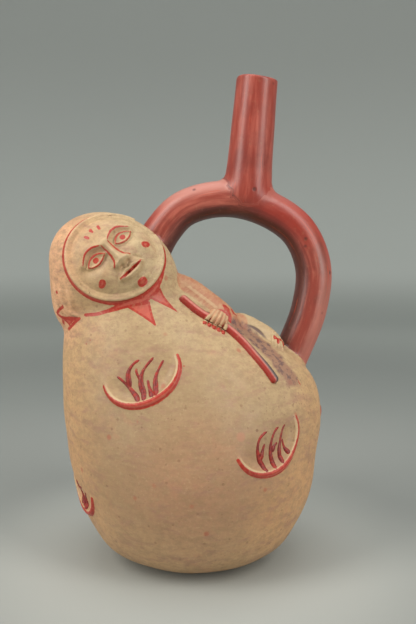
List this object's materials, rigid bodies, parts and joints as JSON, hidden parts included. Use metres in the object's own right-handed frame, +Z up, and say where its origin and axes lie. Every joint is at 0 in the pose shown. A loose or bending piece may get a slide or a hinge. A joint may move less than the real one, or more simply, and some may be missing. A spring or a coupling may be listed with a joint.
{
  "type": "stirrup spout vessel",
  "caption": "Hollow fired clay vessel shaped as a tuber that ends in a hooded head, with a stirrup handle under one straight spout.",
  "frame": {"origin": "centre of the flat underside", "axes": "+Z up along the spout, +X from the hooded head towards the far foot of the stirrup, the face looks towards -Y"},
  "size_m": [0.1556, 0.13, 0.2658],
  "materials": {
    "slipped_clay": "matte cream slip with burnished brick red slip on the stirrup and spout"
  },
  "bodies": {
    "root": {"vessel": "slipped_clay"}
  },
  "joints": []
}
